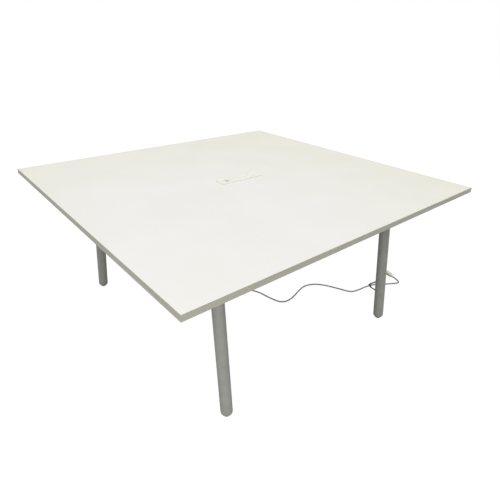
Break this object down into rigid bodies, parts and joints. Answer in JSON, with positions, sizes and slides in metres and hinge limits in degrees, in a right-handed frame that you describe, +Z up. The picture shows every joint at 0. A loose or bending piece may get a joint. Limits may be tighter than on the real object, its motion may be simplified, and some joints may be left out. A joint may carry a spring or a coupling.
{
  "type": "collaboration table",
  "caption": "Large rectangular collaboration table: laminate top on splayed round legs, with a flush power module and its cord.",
  "frame": {"origin": "on the floor, under the middle of the worktop", "axes": "+X along the longer side of the worktop, +Y along the shorter side, +Z up"},
  "size_m": [1.8395, 1.524, 0.74],
  "materials": {
    "particleboard": "raw, sealed at the edges",
    "white_laminate": "fine matt",
    "backing_laminate": "matt",
    "edge_band_grey": "matt",
    "grey_paint": "satin powder coat",
    "black_nylon": "moulded",
    "zinc_steel": "zinc plated",
    "brass": "bright",
    "screw_white": "enamelled heads",
    "conductor_black": "smooth",
    "module_white": "moulded, fine matt",
    "charger_grey": "moulded",
    "circuit_green": "solder mask",
    "housing_grey": "moulded",
    "cord_grey": "smooth jacket",
    "plug_cream": "moulded",
    "tie_black": "woven strap"
  },
  "bodies": {
    "table": {"backing_sheet": "backing_laminate", "beam_bolts": "zinc_steel", "beam_end_plates": "grey_paint", "bus_bars": "brass", "cord_gland": "housing_grey", "cord_tie": "tie_black", "cross_beam_back": "grey_paint", "cross_beam_front": "grey_paint", "data_blank": "module_white", "edge_band_back": "edge_band_grey", "edge_band_front": "edge_band_grey", "edge_band_left": "edge_band_grey", "edge_band_right": "edge_band_grey", "face_plate_screws": "screw_white", "foot_cap_back_left": "grey_paint", "foot_cap_back_right": "grey_paint", "foot_cap_front_left": "grey_paint", "foot_cap_front_right": "grey_paint", "lead_conductors": "conductor_black", "leg_screws": "zinc_steel", "leg_socket_back_left": "grey_paint", "leg_socket_back_right": "grey_paint", "leg_socket_front_left": "grey_paint", "leg_socket_front_right": "grey_paint", "leg_tube_back_left": "grey_paint", "leg_tube_back_right": "grey_paint", "leg_tube_front_left": "grey_paint", "leg_tube_front_right": "grey_paint", "module_bezel": "module_white", "module_clamp_screws": "zinc_steel", "module_clamps": "zinc_steel", "module_face_plate": "module_white", "module_housing": "housing_grey", "outlet_1": "module_white", "outlet_2": "module_white", "outlet_3": "module_white", "plug_blades": "brass", "plug_body": "plug_cream", "power_cord": "cord_grey", "rivet_nuts": "zinc_steel", "side_rail_left": "grey_paint", "side_rail_right": "grey_paint", "socket_bolts": "zinc_steel", "terminal_block": "housing_grey", "top_fixing_tabs": "grey_paint", "top_laminate": "white_laminate", "top_screws": "zinc_steel", "usb_charger": "charger_grey", "usb_circuit_board": "circuit_green", "worktop_core": "particleboard"},
    "glide_front_left": {"glide_pad_front_left": "black_nylon", "glide_stud_front_left": "zinc_steel"},
    "glide_front_right": {"glide_pad_front_right": "black_nylon", "glide_stud_front_right": "zinc_steel"},
    "glide_back_left": {"glide_pad_back_left": "black_nylon", "glide_stud_back_left": "zinc_steel"},
    "glide_back_right": {"glide_pad_back_right": "black_nylon", "glide_stud_back_right": "zinc_steel"}
  },
  "joints": [
    {"name": "glide_front_left_height", "type": "slide", "parent": "table", "child": "glide_front_left", "axis": [0, 0, 1], "range_m": [-0.012, 0]},
    {"name": "glide_front_right_height", "type": "slide", "parent": "table", "child": "glide_front_right", "axis": [0, 0, 1], "range_m": [-0.012, 0]},
    {"name": "glide_back_left_height", "type": "slide", "parent": "table", "child": "glide_back_left", "axis": [0, 0, 1], "range_m": [-0.012, 0]},
    {"name": "glide_back_right_height", "type": "slide", "parent": "table", "child": "glide_back_right", "axis": [0, 0, 1], "range_m": [-0.012, 0]}
  ]
}
